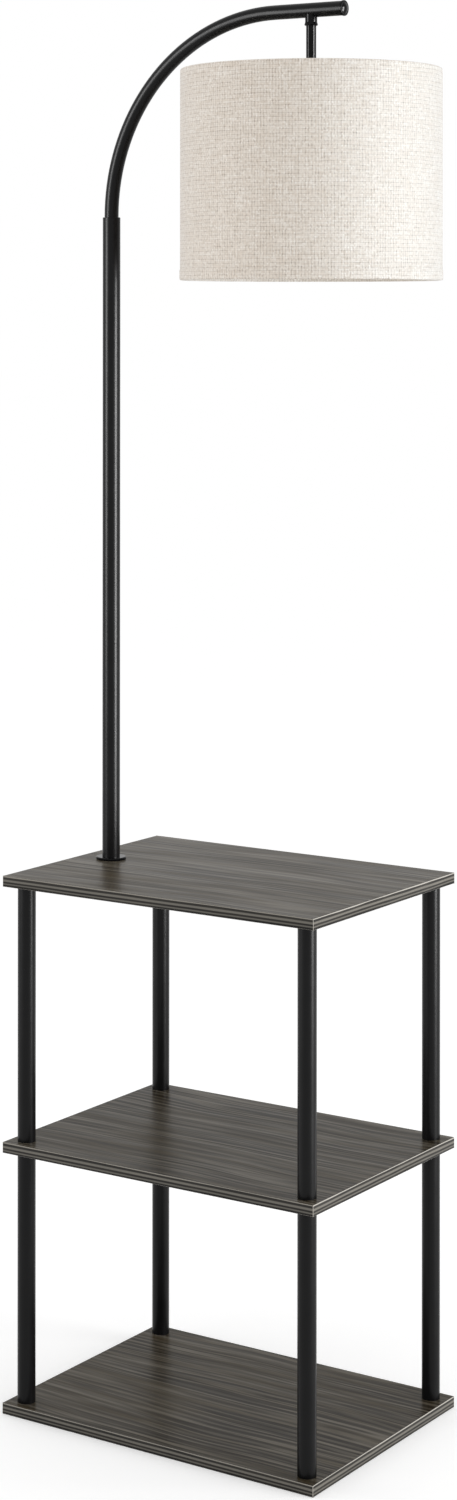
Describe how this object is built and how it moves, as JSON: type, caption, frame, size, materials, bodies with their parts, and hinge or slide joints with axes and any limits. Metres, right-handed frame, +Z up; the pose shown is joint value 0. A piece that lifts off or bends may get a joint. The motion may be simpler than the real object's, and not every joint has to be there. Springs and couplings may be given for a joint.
{
  "type": "floor lamp with table",
  "caption": "Floor lamp on an open shelf table: a pole rises from the top board, bends over as a quarter circle and hangs a linen drum shade on a short stem.",
  "frame": {"origin": "middle of the table's footprint, on the floor", "axes": "+Z up; +X along the shelves, from the pole towards the shade; -Y is the front"},
  "size_m": [0.447, 0.3, 1.5486],
  "materials": {
    "shelf_laminate": "grey-brown wood-grain laminate, satin",
    "edge_strip": "wood-grain edge strip, satin",
    "black_tube": "satin black powder coat",
    "black_fitting": "semi-gloss black",
    "zinc_steel": "zinc plated",
    "black_plastic": "moulded, matte",
    "insulator": "moulded thermoset",
    "brass": "drawn brass",
    "white_wire": "white coated wire",
    "shade_liner": "translucent white sheet",
    "shade_linen": "natural linen weave",
    "bulb_glass": "frosted white",
    "bulb_base": "rolled shell"
  },
  "bodies": {
    "table": {"bottom_shelf": "shelf_laminate", "middle_shelf": "shelf_laminate", "top_shelf": "shelf_laminate", "bottom_edge_strips": "edge_strip", "middle_edge_strips": "edge_strip", "top_edge_strips": "edge_strip", "lower_leg_front_left": "black_tube", "lower_leg_front_right": "black_tube", "lower_leg_back_left": "black_tube", "lower_leg_back_right": "black_tube", "upper_leg_front_left": "black_tube", "upper_leg_front_right": "black_tube", "upper_leg_back_left": "black_tube", "upper_leg_back_right": "black_tube", "pole_tube": "black_tube", "pole_flange": "black_fitting", "lower_leg_inserts": "zinc_steel", "upper_leg_inserts": "zinc_steel", "bottom_bolts": "zinc_steel", "middle_joining_studs": "zinc_steel", "top_shelf_studs": "zinc_steel", "top_shelf_insert_nuts": "zinc_steel", "pole_base_insert": "zinc_steel", "pole_nipple": "zinc_steel", "pole_backing_washer": "zinc_steel", "pole_lock_nut": "zinc_steel", "arm_stop_ring": "zinc_steel", "cord_bushing": "black_plastic"},
    "arm": {"arm_tube": "black_tube", "arm_end_cap": "black_fitting", "stem_collar": "black_fitting", "stem_tube": "black_fitting", "socket_cap": "black_plastic", "socket_shell": "black_plastic", "contact_block": "insulator", "screw_shell": "brass", "centre_contact": "brass", "shade_fitter_ring": "white_wire", "shade_clamp_ring": "black_plastic", "shade_spokes": "white_wire", "shade_top_ring": "white_wire", "shade_bottom_ring": "white_wire", "shade_liner": "shade_liner", "shade_fabric": "shade_linen", "bulb_glass": "bulb_glass", "bulb_base": "bulb_base", "bulb_tip": "insulator"},
    "switch": {"switch_shaft": "brass", "switch_knob": "black_plastic"}
  },
  "joints": [
    {"name": "arm_swivel", "type": "hinge", "parent": "table", "child": "arm", "pos_m": [-0.16, 0, 1.29], "axis": [0, 0, 1], "range_deg": [-170, 170]},
    {"name": "switch_turn", "type": "hinge", "parent": "arm", "child": "switch", "pos_m": [0.1255, 0, 1.443], "axis": [1, 0, 0], "continuous": true}
  ]
}
